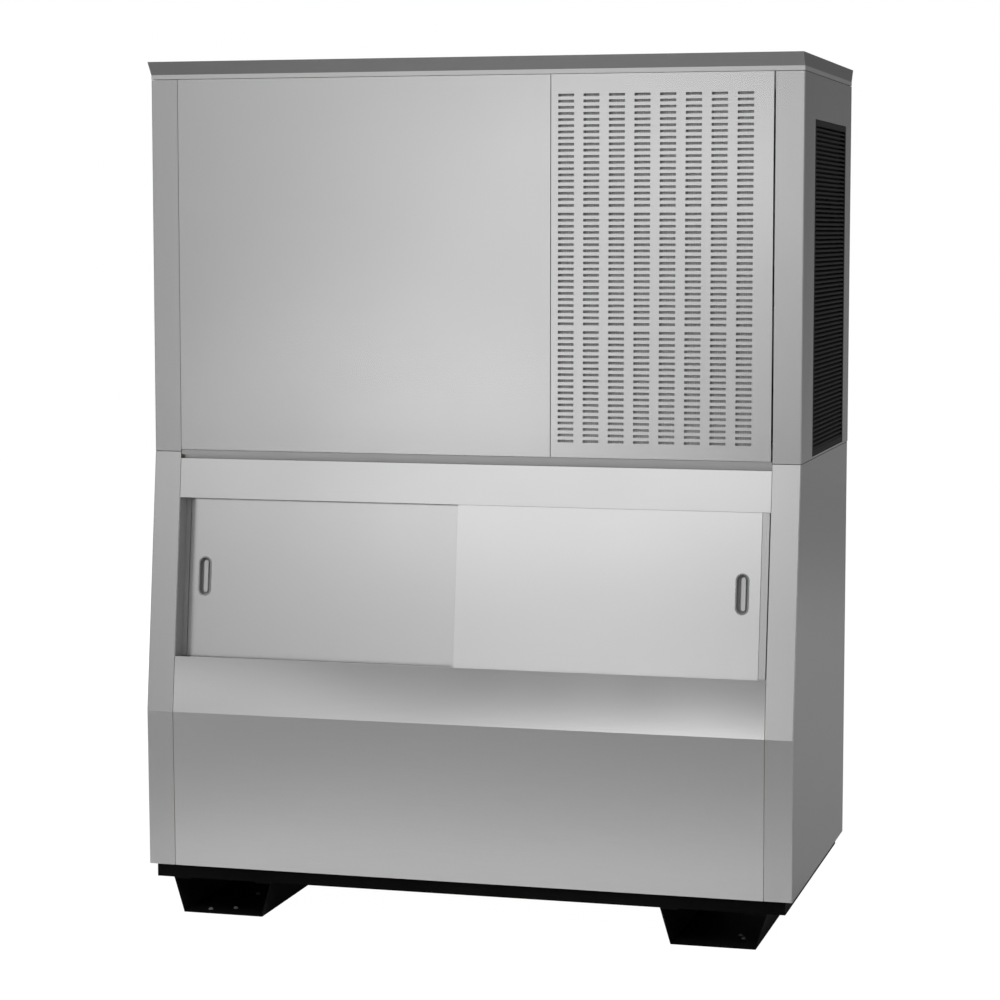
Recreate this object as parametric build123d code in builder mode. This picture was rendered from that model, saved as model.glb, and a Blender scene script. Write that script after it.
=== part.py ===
from build123d import *
from math import atan, cos, sin, tan
import os

os.makedirs("parts", exist_ok=True)

# An ice cube machine: an ice-making head on top of an insulated storage bin with sliding doors.
# Millimetres. X runs to the right, Y to the back, Z up, the origin is on the floor below the middle.

# Cabinet
width = 1480.0
head_depth = 700.0
bin_setback = 8.0
head_height = 846.2
slope_height = 586.3
kick_height = 354.0
lean_run = 70.0
toe_run = 6.5
skid_height = 80.0
rail_height = 30.0
joint_gap = 1.5
sheet = 1.2
heavy_sheet = 3.0
fold_radius = 2.0
panel_gap = 1.0
seat_gap = 0.3
flange_width = 62.0

# Top cover
skirt_height = 10.0
flare_height = 28.0
flare_run = 22.0
cover_ledge = 30.0
cover_gap = 1.2

# Levels
bin_bottom_z = skid_height + rail_height
break_z = bin_bottom_z + kick_height
bin_top_z = break_z + slope_height
head_bottom_z = bin_top_z + joint_gap
skirt_bottom_z = head_bottom_z + head_height - skirt_height
flare_bottom_z = skirt_bottom_z + skirt_height
top_z = flare_bottom_z + flare_height
head_side_top_z = skirt_bottom_z - cover_gap

# Planes from front to back: the box round the whole machine is centred on the origin
half = width / 2
face_y = lean_run - (lean_run + head_depth + flare_run) / 2
back_y = face_y + head_depth
bin_back_y = back_y - bin_setback
inner_half = half - sheet
flange_x = half - flange_width
lean = atan(lean_run / slope_height)


def sloped(depth, drop):
    """Point (y, z) at a depth behind the leaning bin front and a drop down its slope."""
    return (
        face_y - drop * sin(lean) + depth * cos(lean),
        bin_top_z - drop * cos(lean) - depth * sin(lean),
    )


def front_line(inset, top_z=bin_top_z, bottom_z=bin_bottom_z):
    """Points (y, z) down the bin front: the leaning part, the break and the foot."""
    shift = face_y + inset / cos(lean)
    top_y = shift - (bin_top_z - top_z) * tan(lean)
    foot_y = shift - lean_run + toe_run * (break_z - bottom_z) / kick_height
    return [(top_y, top_z), (shift - lean_run, break_z), (foot_y, bottom_z)]


def block(x_span, y_span, z_span, mode=Mode.ADD):
    """Rectangular block between three pairs of limits, in the part being built."""
    spans = (x_span, y_span, z_span)
    with Locations(tuple((low + high) / 2 for low, high in spans)):
        Box(*(high - low for low, high in spans), mode=mode)


def folded(points, thickness=sheet, side=Side.LEFT):
    """Section of a folded sheet in the sketch being built: a bent line and its parallel."""
    with BuildLine() as bends:
        line = Polyline(*points)
        offset(line, amount=thickness, side=side, kind=Kind.INTERSECTION)
    make_face(bends.edges())


def outline(points, mode=Mode.ADD):
    """Filled polygon in the sketch being built."""
    with BuildLine() as border:
        Polyline(*points, close=True)
    make_face(border.edges(), mode=mode)


def across(x):
    """Plane at x, looking along X, whose sketches are drawn in y and z."""
    return Plane.YZ.offset(x)


def facing(y):
    """Plane at y, looking at the front, whose sketches are drawn in x and z."""
    return Plane.XZ.offset(-y)


def save(builder, name):
    """Labels a finished piece and writes it."""
    builder.part.label = name
    export_step(builder.part, f"parts/{name}.step")


# Plane of the leaning bin front: x to the right, y up the slope, normal out of the machine
slope_face = Plane(
    origin=(0, face_y, bin_top_z), x_dir=(1, 0, 0), z_dir=(0, -cos(lean), sin(lean))
)


# Base: two folded skids and a channel ring

skid_inset = 158.0
skid_top = 236.0
skid_foot = 188.0
skid_lip = 40.0
ring_side_inset = 16.0
ring_front_inset = 8.0
ring_flange = 45.0

ring_half = half - ring_side_inset
skid_middle = ring_half - skid_inset
ring_front_y = front_line(ring_front_inset)[2][0]
ring_back_y = bin_back_y - ring_front_inset


def skid(middle_x, name):
    """Open channel on the floor: a flat foot, two leaning walls and two lips turned inwards."""
    points = [
        (middle_x - skid_top / 2 + skid_lip, skid_height),
        (middle_x - skid_top / 2, skid_height),
        (middle_x - skid_foot / 2, 0),
        (middle_x + skid_foot / 2, 0),
        (middle_x + skid_top / 2, skid_height),
        (middle_x + skid_top / 2 - skid_lip, skid_height),
    ]
    with BuildPart() as channel:
        with BuildSketch(facing(ring_front_y)):
            folded(points, heavy_sheet)
        extrude(amount=-(ring_back_y - ring_front_y))
    save(channel, name)


skid(-skid_middle, "left_skid")
skid(skid_middle, "right_skid")

with BuildPart() as base_ring:
    ring_middle_y = (ring_front_y + ring_back_y) / 2
    ring_depth = ring_back_y - ring_front_y
    ring_plane = Plane((0, ring_middle_y, skid_height))
    with BuildSketch(ring_plane):
        Rectangle(2 * ring_half, ring_depth)
        Rectangle(2 * (ring_half - ring_flange), ring_depth - 2 * ring_flange, mode=Mode.SUBTRACT)
    extrude(amount=rail_height)
    with BuildSketch(ring_plane.offset(heavy_sheet)):
        Rectangle(2 * (ring_half - heavy_sheet), ring_depth - 2 * heavy_sheet)
    extrude(amount=rail_height - 2 * heavy_sheet, mode=Mode.SUBTRACT)
save(base_ring, "base_frame")


# Bin casing: folded sides, floor, back and the front sheets between the side flanges


def bin_side_outline(inset, overrun):
    """Side view (y, z) of the bin, drawn in by an inset in front and behind."""
    top, middle, foot = front_line(inset)
    rear = bin_back_y - inset
    return [
        (top[0], bin_top_z + overrun),
        top,
        middle,
        foot,
        (foot[0], bin_bottom_z - overrun),
        (rear, bin_bottom_z - overrun),
        (rear, bin_top_z + overrun),
    ]


rear_flange = 30.0


def bin_side(sign, name):
    """Side sheet folded round the front into a wide flange and round the back into a narrow one."""
    with BuildPart() as side:
        with BuildSketch(across(sign * half)):
            outline(bin_side_outline(0, 0)[1:4] + [(bin_back_y, bin_bottom_z), (bin_back_y, bin_top_z)])
        extrude(amount=-sign * flange_width)
        with BuildSketch(across(sign * inner_half)):
            outline(bin_side_outline(sheet, sheet))
        extrude(amount=-sign * flange_width, mode=Mode.SUBTRACT)
        rear_x = sorted((sign * (flange_x - sheet), sign * (half - rear_flange)))
        block(rear_x, (bin_back_y - 2 * sheet, bin_back_y + sheet),
              (bin_bottom_z - sheet, bin_top_z + sheet), mode=Mode.SUBTRACT)
        corner = side.edges().filter_by_position(Axis.X, sign * half, sign * half)
        fillet(
            [edge for edge in corner.filter_by(GeomType.LINE) if edge.center().Y < face_y + sheet
             and abs(edge.bounding_box().size.Z) > sheet],
            radius=fold_radius,
        )
    save(side, name)


bin_side(-1, "left_bin_panel")
bin_side(1, "right_bin_panel")

drain_x = 220.0 - half
drain_z = bin_bottom_z + 26.0
drain_radius = 13.2
drain_hole_gap = 0.5
drain_body = 15.0
drain_end_radius = 12.5

front_return = 22.0
with BuildPart() as bin_floor:
    floor_front_y = front_line(0)[2][0] + front_return + seat_gap
    block((-inner_half, inner_half), (floor_front_y, bin_back_y - sheet),
          (bin_bottom_z, bin_bottom_z + sheet))
save(bin_floor, "bin_floor")

with BuildPart() as bin_back:
    block((-inner_half, inner_half), (bin_back_y - 2 * sheet, bin_back_y - sheet),
          (bin_bottom_z + sheet, bin_top_z))
    notch = drain_radius + drain_hole_gap
    block((drain_x - notch, drain_x + notch), (bin_back_y - 2 * sheet, bin_back_y - sheet),
          (bin_bottom_z + sheet, drain_z + notch), mode=Mode.SUBTRACT)
save(bin_back, "bin_back")

# The leaning front: drops are measured down the slope from the top of the bin

fascia_top = 14.5
door_opening_top = 103.5
ledge_top = 464.0
front_half = flange_x - panel_gap

# Joint rail: the bright strip under the head, stepped back to leave a dark groove over the fascia
strip_top_z = bin_top_z + 4.7
strip_height = 10.5
strip_inset = 2.0
rail_seat = 22.0
groove_back = 14.0
groove_leg = 22.0

with BuildPart() as joint_rail:
    with BuildSketch(across(-front_half)):
        folded([
            (face_y + rail_seat, strip_top_z),
            (face_y + strip_inset, strip_top_z),
            (face_y + strip_inset, strip_top_z - strip_height),
            (face_y + groove_back, strip_top_z - strip_height),
            (face_y + groove_back, strip_top_z - strip_height - groove_leg),
        ])
    extrude(amount=2 * front_half)
save(joint_rail, "joint_rail")

# Sliding doors and the tracks they run in, stacked in depth behind the leaning front
door_thickness = 24.0
door_overlap = 38.0
track_wall = 1.5
track_rib = 5.0
side_play = 1.5
track_depth = 17.0
front_door_depth = track_depth + track_wall + side_play
rib_depth = front_door_depth + door_thickness + side_play
rear_door_depth = rib_depth + track_rib + side_play
track_back = rear_door_depth + door_thickness + side_play + track_wall
top_track_drop = 84.0
top_track_foot = 100.5
bottom_track_crest = 470.0
bottom_track_drop = 482.5
track_floor = 2.5
door_lift = 4.0
door_top_play = 9.5
door_top_drop = top_track_drop + track_floor + door_top_play
door_foot_drop = bottom_track_drop - track_floor - door_lift

with BuildPart() as fascia:
    fascia_return = (groove_back - seat_gap) / cos(lean) + fascia_top * tan(lean)
    with BuildSketch(across(-front_half)):
        folded([
            sloped(fascia_return, fascia_top),
            sloped(0, fascia_top),
            sloped(0, door_opening_top),
            sloped(track_depth - seat_gap, door_opening_top),
        ])
    extrude(amount=2 * front_half)
save(fascia, "fascia")

with BuildPart() as front_panel_lower:
    foot_point = front_line(0)[2]
    ledge_leg = track_depth - seat_gap
    with BuildSketch(across(-front_half)):
        folded([
            sloped(ledge_leg, bottom_track_drop),
            sloped(ledge_leg, ledge_top),
            sloped(0, ledge_top),
            front_line(0)[1],
            foot_point,
            (foot_point[0] + front_return, foot_point[1]),
        ])
    extrude(amount=2 * front_half)
save(front_panel_lower, "lower_front_panel")


def track(base, crest, name):
    """Double channel whose three legs stand from its base towards the doors."""
    low, high = sorted((base, crest))
    with BuildPart() as channel:
        with BuildSketch(across(-flange_x + track_wall)):
            outline([sloped(track_depth, low), sloped(track_back, low),
                     sloped(track_back, high), sloped(track_depth, high)])
            inner = (low + track_floor, high + 1) if base < crest else (low - 1, high - track_floor)
            for near, far in (
                (track_depth + track_wall, rib_depth),
                (rib_depth + track_rib, track_back - track_wall),
            ):
                outline([sloped(near, inner[0]), sloped(far, inner[0]),
                         sloped(far, inner[1]), sloped(near, inner[1])], mode=Mode.SUBTRACT)
        extrude(amount=2 * (flange_x - track_wall))
    save(channel, name)


track(top_track_drop, top_track_foot, "top_track")
track(bottom_track_drop, bottom_track_crest, "bottom_track")

# Jambs: upright grooves at the ends of the doorway, with a stop for the front door on the right
jamb_rib = 8.0
stop_width = 20.0
stop_depth = front_door_depth + 2.0


def slope_bar(x_span, depth_span, drop_span, mode=Mode.ADD):
    """Block square to the leaning front, between limits in x, depth and drop."""
    with BuildSketch(slope_face.offset(-depth_span[0])) as bar:
        with Locations((sum(x_span) / 2, -sum(drop_span) / 2)):
            Rectangle(x_span[1] - x_span[0], drop_span[1] - drop_span[0])
    extrude(bar.sketch, amount=-(depth_span[1] - depth_span[0]), mode=mode)


def jamb(sign, name):
    """Upright groove beside the doors, closed towards the flange."""
    drops = (door_opening_top + seat_gap, ledge_top - seat_gap)
    wall_x = sorted((sign * flange_x, sign * (flange_x - track_wall)))
    rib_x = sorted((sign * flange_x, sign * (flange_x - track_wall - jamb_rib)))
    with BuildPart() as post:
        slope_bar(wall_x, (sheet, track_back), drops)
        slope_bar(rib_x, (rib_depth, rib_depth + track_rib), drops)
        slope_bar(rib_x, (track_back - track_wall, track_back), drops)
        if sign > 0:
            stop_x = (flange_x - track_wall - stop_width, flange_x)
            slope_bar(stop_x, (stop_depth, stop_depth + track_wall), drops)
    save(post, name)


jamb(-1, "left_jamb")
jamb(1, "right_jamb")

# Doors: foamed slabs with an obround pocket for the pull near the closing edge
right_edge_play = 0.5
left_edge_play = 6.5
right_door_edge = flange_x - track_wall - stop_width - right_edge_play
left_door_edge = -(flange_x - track_wall - left_edge_play)
door_width = (right_door_edge - left_door_edge + door_overlap) / 2
pull_inset = 39.5
pull_drop = 281.0
pull_length = 90.0
pull_width = 30.0
pull_rim = 3.0
pull_lip = 1.2
pull_depth = 12.0
pull_floor = 1.0
pull_play = 0.2
glide_length = 40.0
glide_thickness = 14.0
glide_inset = 70.0
glide_reach = door_lift - seat_gap
glide_root = 8.0


def door(left_edge, depth, pull_x, name):
    """Slab door with recessed ends for the glides and a pocket for the pull."""
    with BuildPart() as slab:
        slope_bar((left_edge, left_edge + door_width), (depth, depth + door_thickness),
                  (door_top_drop, door_foot_drop))
        with BuildSketch(slope_face.offset(-depth)):
            with Locations((pull_x, -pull_drop)):
                SlotOverall(pull_length + 2 * pull_play, pull_width + 2 * pull_play, rotation=90)
        extrude(amount=-(pull_depth + pull_floor + pull_play), mode=Mode.SUBTRACT)
        middle = depth + door_thickness / 2
        for glide_x in (left_edge + glide_inset, left_edge + door_width - glide_inset):
            slope_bar((glide_x - glide_length / 2, glide_x + glide_length / 2),
                      (middle - glide_thickness / 2, middle + glide_thickness / 2),
                      (door_foot_drop - glide_root, door_foot_drop), mode=Mode.SUBTRACT)
    save(slab, name)


def pull_cup(depth, pull_x, name):
    """Finger pull: an obround cup whose rim stands just proud of the door."""
    with BuildPart() as cup:
        with BuildSketch(slope_face.offset(pull_lip - depth)):
            with Locations((pull_x, -pull_drop)):
                SlotOverall(pull_length, pull_width, rotation=90)
        extrude(amount=-(pull_lip + pull_depth + pull_floor))
        with BuildSketch(slope_face.offset(pull_lip - depth)):
            with Locations((pull_x, -pull_drop)):
                SlotOverall(pull_length - 2 * pull_rim, pull_width - 2 * pull_rim, rotation=90)
        extrude(amount=-(pull_depth + pull_lip), mode=Mode.SUBTRACT)
    save(cup, name)


def glides(left_edge, depth, name):
    """Two nylon pads let into the foot of a door, running on the track floor."""
    middle = depth + door_thickness / 2
    with BuildPart() as pads:
        for glide_x in (left_edge + glide_inset, left_edge + door_width - glide_inset):
            slope_bar((glide_x - glide_length / 2, glide_x + glide_length / 2),
                      (middle - glide_thickness / 2, middle + glide_thickness / 2),
                      (door_foot_drop - glide_root, door_foot_drop + glide_reach))
    save(pads, name)


right_door_left = right_door_edge - door_width
for side_name, edge_x, depth, pull_x in (
    ("left", left_door_edge, rear_door_depth, left_door_edge + pull_inset),
    ("right", right_door_left, front_door_depth, right_door_edge - pull_inset),
):
    door(edge_x, depth, pull_x, f"{side_name}_door")
    pull_cup(depth, pull_x, f"{side_name}_pull")
    glides(edge_x, depth, f"{side_name}_door_glides")


# Liner, foam and rim of the bin

foam_wall = 41.0
foam_floor = 50.0
foam_front = 24.0
liner_wall = 3.0
liner_top_z = bin_top_z - 7.3
liner_half = inner_half - foam_wall
liner_back_y = bin_back_y - 2 * sheet - foam_wall
liner_floor_z = bin_bottom_z + sheet + foam_floor
liner_depth = track_back + seat_gap
doorway_half = flange_x - track_wall
drain_bore = 10.0
spigot_set_in = 2.0
drain_flange = 24.0
drain_flange_height = 3.0
drain_set_in = 90.0
drain_reach = drain_body + drain_hole_gap
drain_y = liner_back_y - drain_set_in


def tub_outline(depth, rear_y, floor_z, top_z):
    """Side view (y, z) of the space between the leaning front and the back."""
    return front_line(depth, top_z, floor_z) + [(rear_y, floor_z), (rear_y, top_z)]


with BuildPart() as liner:
    with BuildSketch(across(-liner_half)):
        outline(tub_outline(liner_depth, liner_back_y, liner_floor_z, liner_top_z))
    extrude(amount=2 * liner_half)
    with BuildSketch(across(-liner_half + liner_wall)):
        outline(tub_outline(liner_depth + liner_wall, liner_back_y - liner_wall,
                            liner_floor_z + liner_wall, liner_top_z + liner_wall))
    extrude(amount=2 * (liner_half - liner_wall), mode=Mode.SUBTRACT)
    slope_bar((-doorway_half, doorway_half), (liner_depth - liner_wall, liner_depth + 3 * liner_wall),
              (top_track_foot, bottom_track_crest), mode=Mode.SUBTRACT)
    block((drain_x - drain_reach, drain_x + drain_reach), (drain_y - drain_reach, drain_y + drain_reach),
          (liner_floor_z, liner_floor_z + liner_wall), mode=Mode.SUBTRACT)
save(liner, "bin_liner")

with BuildPart() as foam:
    with BuildSketch(across(-inner_half)):
        outline(tub_outline(foam_front, bin_back_y - 2 * sheet, bin_bottom_z + sheet, liner_top_z))
    extrude(amount=2 * inner_half)
    with BuildSketch(across(-liner_half)):
        outline(tub_outline(liner_depth, liner_back_y, liner_floor_z, liner_top_z))
    extrude(amount=2 * liner_half, mode=Mode.SUBTRACT)
    slope_bar((-flange_x, flange_x), (0, liner_depth + liner_wall),
              (top_track_drop, bottom_track_drop), mode=Mode.SUBTRACT)
    block((drain_x - drain_reach, drain_x + drain_reach), (drain_y - drain_reach, bin_back_y),
          (drain_z - drain_reach, drain_z + drain_reach), mode=Mode.SUBTRACT)
    block((drain_x - drain_reach, drain_x + drain_reach), (drain_y - drain_reach, drain_y + drain_reach),
          (drain_z, liner_floor_z), mode=Mode.SUBTRACT)
save(foam, "bin_insulation")

rim_front = 24.0
rim_width = 50.0
rim_gap = 1.0
with BuildPart() as rim:
    rim_span = (face_y + rim_front, bin_back_y - 2 * sheet)
    block((-inner_half, inner_half), rim_span, (liner_top_z, bin_top_z))
    block((-inner_half + rim_width, inner_half - rim_width),
          (face_y + liner_depth + liner_wall + rim_gap, rim_span[1] - rim_width),
          (liner_top_z, bin_top_z), mode=Mode.SUBTRACT)
    with BuildSketch(across(-inner_half)):
        outline([(face_y, liner_top_z), (face_y + rim_front, liner_top_z),
                 (face_y + rim_front, bin_top_z), (face_y, bin_top_z)])
    extrude(amount=2 * inner_half, mode=Mode.SUBTRACT)
save(rim, "bin_rim")

gasket_edge = 0.5
with BuildPart() as gasket:
    block((-half + gasket_edge, half - gasket_edge), (face_y + fold_radius, bin_back_y - gasket_edge),
          (bin_top_z, head_bottom_z))
    block((-inner_half + rim_width, inner_half - rim_width),
          (face_y + liner_depth + liner_wall + rim_gap, bin_back_y - 2 * sheet - rim_width),
          (bin_top_z, head_bottom_z), mode=Mode.SUBTRACT)
    block((-flange_x, flange_x), (face_y, face_y + rim_front),
          (bin_top_z, head_bottom_z), mode=Mode.SUBTRACT)
save(gasket, "joint_gasket")

spigot_end_y = back_y + flare_run - spigot_set_in
with BuildPart() as drain:
    rim_z = (liner_floor_z + liner_wall, liner_floor_z + liner_wall + drain_flange_height)
    block((drain_x - drain_flange, drain_x + drain_flange),
          (drain_y - drain_flange, drain_y + drain_flange), rim_z)
    block((drain_x - drain_body, drain_x + drain_body),
          (drain_y - drain_body, drain_y + drain_body), (drain_z - drain_body, rim_z[0]))
    with BuildSketch(facing(drain_y + drain_body)):
        with Locations((drain_x, drain_z)):
            Circle(drain_radius)
    extrude(amount=-(bin_back_y - drain_y - drain_body))
    with BuildSketch(facing(bin_back_y)):
        with Locations((drain_x, drain_z)):
            Circle(drain_end_radius)
    extrude(amount=-(spigot_end_y - bin_back_y))
    with BuildSketch(facing(drain_y)):
        with Locations((drain_x, drain_z)):
            Circle(drain_bore)
    extrude(amount=-(spigot_end_y - drain_y), mode=Mode.SUBTRACT)
    block((drain_x - drain_bore, drain_x + drain_bore), (drain_y - drain_bore, drain_y + drain_bore),
          (drain_z, rim_z[1]), mode=Mode.SUBTRACT)
save(drain, "drain_outlet")


# Head casing

head_return = 15.0
grille_front = 151.0
grille_width = 461.0
grille_bottom = 5.2
grille_height = 733.0
grille_gap = 0.8
grille_depth = 10.0
grille_rim = 13.0
grille_flange = 12.0
grille_flange_thickness = 2.0

grille_y = (face_y + grille_front, face_y + grille_front + grille_width)
grille_z = (head_bottom_z + grille_bottom, head_bottom_z + grille_bottom + grille_height)


def head_side(sign, name):
    """Side sheet folded into a front flange with a short return, and a rear flange."""
    with BuildPart() as side:
        with BuildSketch(Plane.XY.offset(head_bottom_z)):
            folded([
                (sign * flange_x, face_y + head_return),
                (sign * flange_x, face_y),
                (sign * half, face_y),
                (sign * half, back_y),
                (sign * (half - rear_flange), back_y),
            ], side=Side.RIGHT if sign < 0 else Side.LEFT)
        extrude(amount=head_side_top_z - head_bottom_z)
        if sign > 0:
            block((half - 2 * sheet, half + sheet),
                  (grille_y[0] - grille_gap, grille_y[1] + grille_gap),
                  (grille_z[0] - grille_gap, grille_z[1] + grille_gap), mode=Mode.SUBTRACT)
        middle_z = (head_bottom_z + head_side_top_z) / 2
        corners = side.edges().filter_by(Axis.Z).sort_by_distance((sign * half, face_y, middle_z))
        fillet(corners[0], radius=fold_radius)
    save(side, name)


head_side(-1, "left_head_panel")
head_side(1, "right_head_panel")

back_sheet_y = (back_y - 2 * sheet, back_y - sheet)
inlet_x = 61.0 - half
inlet_z = head_bottom_z + 218.0
inlet_radius = 8.0
inlet_bore = 5.5
inlet_end_radius = 7.5
pipe_gap = 0.3
socket_x = half - 140.0
socket_z = head_bottom_z + 60.0
socket_width = 30.0
socket_height = 22.0
socket_depth = 24.0
socket_flange = 7.0
socket_lip = 3.0
socket_wall = 2.5
socket_gap = 0.3
blade_half = (1.0, 2.5)
blade_spread = 7.0
blade_drop = 3.0
blade_lift = 4.0

pan_floor = 1.5
pan_top_z = head_bottom_z + pan_floor
with BuildPart() as head_back:
    block((-inner_half, inner_half), back_sheet_y, (pan_top_z, head_side_top_z))
    with BuildSketch(facing(back_y)):
        with Locations((inlet_x, inlet_z)):
            Circle(inlet_radius + pipe_gap)
        with Locations((socket_x, socket_z)):
            Rectangle(socket_width + 2 * socket_gap, socket_height + 2 * socket_gap)
    extrude(amount=3 * sheet, both=True, mode=Mode.SUBTRACT)
save(head_back, "head_back")

pan_half = half - 12.0
pan_edge = 25.0
pan_front = 24.0
vent_side_width = 554.0
joint_x = half - vent_side_width
drop_x = (50.0 - half, joint_x - 36.0)
drop_y = (face_y + 60.0, face_y + 225.0)
with BuildPart() as head_pan:
    pan_y = (face_y + pan_front, back_sheet_y[0] - seat_gap)
    block((-pan_half, pan_half), pan_y, (head_bottom_z, head_bottom_z + pan_edge))
    block((-pan_half + pan_floor, pan_half - pan_floor), (pan_y[0] + pan_floor, pan_y[1] - pan_floor),
          (pan_top_z, head_bottom_z + 2 * pan_edge), mode=Mode.SUBTRACT)
    block(drop_x, drop_y, (head_bottom_z, pan_top_z), mode=Mode.SUBTRACT)
    block((pan_half - pan_floor, pan_half), (grille_y[0] - grille_flange, grille_y[1] + grille_flange),
          (pan_top_z, head_bottom_z + pan_edge), mode=Mode.SUBTRACT)
save(head_pan, "head_base_pan")

# Front rails and mullion, just behind the returns of the two front panels
panel_return = 13.0
frame_gap = 0.5
frame_depth = 24.0
mullion_extra = 6.0
frame_y = (face_y + panel_return + frame_gap, face_y + panel_return + frame_depth)
header_height = 38.0
mullion_half = 14.0
header_z = (skirt_bottom_z - header_height, skirt_bottom_z)
with BuildPart() as header:
    with BuildSketch(across(-flange_x + sheet + panel_gap)):
        folded([
            (frame_y[1], header_z[1]), (frame_y[0], header_z[1]),
            (frame_y[0], header_z[0]), (frame_y[1], header_z[0]),
        ])
    extrude(amount=2 * (flange_x - sheet - panel_gap))
save(header, "header_rail")

pan_lip_y = pan_y[0] + pan_floor
with BuildPart() as mullion:
    post_y = (pan_lip_y, frame_y[1] + mullion_extra)
    with BuildSketch(Plane.XY.offset(pan_top_z)):
        folded([
            (joint_x - mullion_half, post_y[1]), (joint_x - mullion_half, post_y[0]),
            (joint_x + mullion_half, post_y[0]), (joint_x + mullion_half, post_y[1]),
        ])
    extrude(amount=header_z[0] - pan_top_z)
save(mullion, "mullion")

# Front panels: hollow pans between the flanges, one plain and one slotted
strip_gap = 1.0
panel_z = (strip_top_z + strip_gap, head_side_top_z)
joint_half_gap = 0.8
left_panel_x = (-flange_x + panel_gap, joint_x - joint_half_gap)
right_edge_gap = 4.0
vent_panel_x = (joint_x + joint_half_gap, flange_x - right_edge_gap)


def pan_returns(x_span):
    """Adds the four returns behind a front panel's face."""
    block(x_span, (face_y, face_y + panel_return), panel_z)
    block((x_span[0] + sheet, x_span[1] - sheet), (face_y, face_y + panel_return),
          (panel_z[0] + sheet, panel_z[1] - sheet), mode=Mode.SUBTRACT)


def panel_face(x_span):
    """Rectangle of a front panel's face, in the sketch being built."""
    with Locations((sum(x_span) / 2, sum(panel_z) / 2)):
        Rectangle(x_span[1] - x_span[0], panel_z[1] - panel_z[0])


with BuildPart() as plain_panel:
    pan_returns(left_panel_x)
    with BuildSketch(facing(face_y)):
        panel_face(left_panel_x)
    extrude(amount=-sheet)
save(plain_panel, "left_front_panel")

# Vent slots: columns of short slots in three groups
slot_length = 35.2
slot_height = 6.0
slot_columns = 8
slot_column_pitch = 56.2
slot_side_margin = 15.9
slot_top_margin = 42.0
slot_rows = 19
slot_row_pitch = 13.2
slot_groups = 3
slot_group_gap = 18.6

group_height = (slot_rows - 1) * slot_row_pitch
columns_width = (slot_columns - 1) * slot_column_pitch + slot_length
columns_middle = vent_panel_x[0] + slot_side_margin + columns_width / 2
first_group_z = panel_z[1] - slot_top_margin - slot_height / 2 - group_height / 2
with BuildPart() as vent_panel:
    pan_returns(vent_panel_x)
    with BuildSketch(facing(face_y)):
        panel_face(vent_panel_x)
        for group in range(slot_groups):
            group_z = first_group_z - group * (group_height + slot_group_gap)
            with Locations((columns_middle, group_z)):
                with GridLocations(slot_column_pitch, slot_row_pitch, slot_columns, slot_rows):
                    Rectangle(slot_length, slot_height, mode=Mode.SUBTRACT)
    extrude(amount=-sheet)
save(vent_panel, "vent_panel")

# Top cover: a tray turned over, with a short skirt, flared in front and behind


def cover_outline(inset):
    """Side view (y, z) of the cover, drawn in by an inset."""
    return [
        (face_y + inset, skirt_bottom_z + inset),
        (face_y + inset, flare_bottom_z),
        (face_y - flare_run + inset, top_z - inset),
        (back_y + flare_run - inset, top_z - inset),
        (back_y - inset, flare_bottom_z),
        (back_y - inset, skirt_bottom_z + inset),
    ]


with BuildPart() as cover:
    with BuildSketch(across(-half)):
        outline(cover_outline(0))
    extrude(amount=width)
    with BuildSketch(across(-inner_half)):
        outline(cover_outline(sheet))
    extrude(amount=2 * inner_half, mode=Mode.SUBTRACT)
    block((-half + cover_ledge, half - cover_ledge), (face_y + cover_ledge, back_y - cover_ledge),
          (skirt_bottom_z - sheet, skirt_bottom_z + 2 * sheet), mode=Mode.SUBTRACT)
save(cover, "top_cover")

# Side grille: a rim and inclined slats, held behind the side sheet by a flange
slat_pitch = 9.7
slat_thickness = 3.6
slat_depth = 8.5
slat_fall = 5.0

with BuildPart() as grille:
    block((half - grille_depth, half), grille_y, grille_z)
    block((inner_half - grille_flange_thickness, inner_half),
          (grille_y[0] - grille_flange, grille_y[1] + grille_flange),
          (grille_z[0], grille_z[1] + grille_flange))
    window_y = (grille_y[0] + grille_rim, grille_y[1] - grille_rim)
    window_z = (grille_z[0] + grille_rim, grille_z[1] - grille_rim)
    block((half - grille_depth, half), window_y, window_z, mode=Mode.SUBTRACT)
    slat_count = int((window_z[1] - window_z[0]) / slat_pitch)
    slat_room = (window_z[1] - window_z[0]) / slat_count
    inner_x = half - (grille_depth + slat_depth) / 2
    with BuildSketch(facing(window_y[0])):
        for index in range(slat_count):
            low = window_z[0] + index * slat_room + (slat_room - slat_thickness - slat_fall) / 2
            outline([
                (inner_x + slat_depth, low),
                (inner_x + slat_depth, low + slat_thickness),
                (inner_x, low + slat_fall + slat_thickness),
                (inner_x, low + slat_fall),
            ])
    extrude(amount=-(window_y[1] - window_y[0]))
save(grille, "side_grille")


# Food compartment, left of the divider: bulkhead, evaporators, curtains and water circuit

bulkhead_y = face_y + 340.0
bulkhead_left_x = -(pan_half - pan_floor - seat_gap)
divider_x = joint_x
evaporator_z = head_bottom_z + 288.0
passage = 26.0
stub_x = (330.0 - half, joint_x - 166.0)
line_y = bulkhead_y + 40.0
line_z = evaporator_z + 12.0
pipe_passage = 22.0

with BuildPart() as divider:
    divider_y = (post_y[1] + sheet, pan_y[1] - pan_floor)
    block((divider_x, divider_x + sheet), divider_y, (pan_top_z, head_side_top_z - sheet))
    block((divider_x, divider_x + sheet), (line_y - passage / 2, line_y + passage / 2),
          (line_z - passage / 2, line_z + passage / 2), mode=Mode.SUBTRACT)
save(divider, "divider")

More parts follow.
